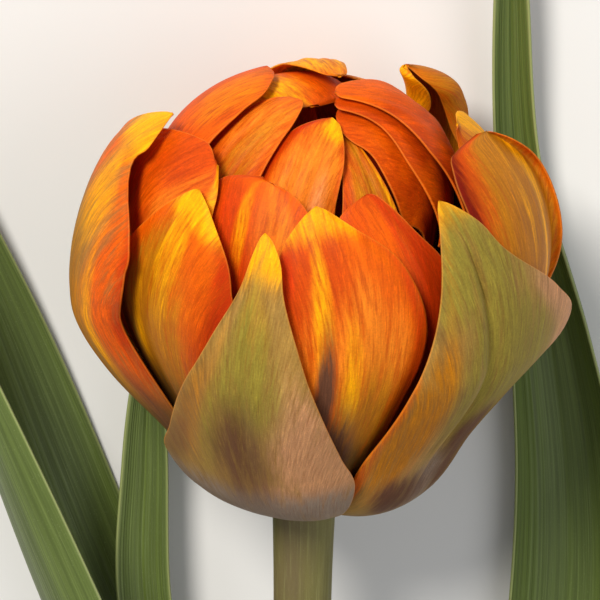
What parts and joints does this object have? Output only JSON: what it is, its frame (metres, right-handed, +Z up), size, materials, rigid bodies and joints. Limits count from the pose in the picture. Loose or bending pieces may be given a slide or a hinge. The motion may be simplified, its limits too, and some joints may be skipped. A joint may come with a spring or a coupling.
{
  "type": "cut double tulip",
  "caption": "Cut double tulip lying on its side, with a full bloom of overlapping orange petals flushed green, a pale green stem and long channelled leaves.",
  "frame": {"origin": "middle of the small flat spot under the bloom on which the flower rests", "axes": "+Z is up, away from the surface the flower lies on; +Y runs along the flower from the stem's cut end towards the bloom; +X is to the right when it is seen from above with the bloom at the top"},
  "size_m": [0.107, 0.2855, 0.0604],
  "materials": {
    "guard_petal": "satin",
    "outer_petal": "satin",
    "inner_petal": "satin",
    "pistil": "satin",
    "stamen": "matte",
    "stem": "satin",
    "leaf": "satin"
  },
  "bodies": {
    "root": {"guard_front": "guard_petal", "guard_right": "guard_petal", "guard_left": "guard_petal", "guard_back_left": "guard_petal", "guard_back": "guard_petal", "guard_back_right": "guard_petal", "outer_centre": "outer_petal", "outer_left": "outer_petal", "outer_far_left": "outer_petal", "outer_mid_left": "outer_petal", "outer_mid_right": "outer_petal", "outer_right": "outer_petal", "outer_far_right": "outer_petal", "outer_hooded": "outer_petal", "outer_back_right": "outer_petal", "outer_back": "outer_petal", "outer_back_left": "outer_petal", "dome_left": "inner_petal", "dome_back_left": "inner_petal", "dome_front_left": "inner_petal", "dome_front": "inner_petal", "dome_front_right": "inner_petal", "dome_inner_right": "inner_petal", "dome_right_inner": "inner_petal", "dome_right_mid": "inner_petal", "dome_right_outer": "inner_petal", "dome_back_right": "inner_petal", "dome_back": "inner_petal", "pistil": "pistil", "stamen_1": "stamen", "stamen_2": "stamen", "stamen_3": "stamen", "stamen_4": "stamen", "stamen_5": "stamen", "stamen_6": "stamen", "stem": "stem", "leaf_right": "leaf", "leaf_left": "leaf", "leaf_middle": "leaf"}
  },
  "joints": []
}
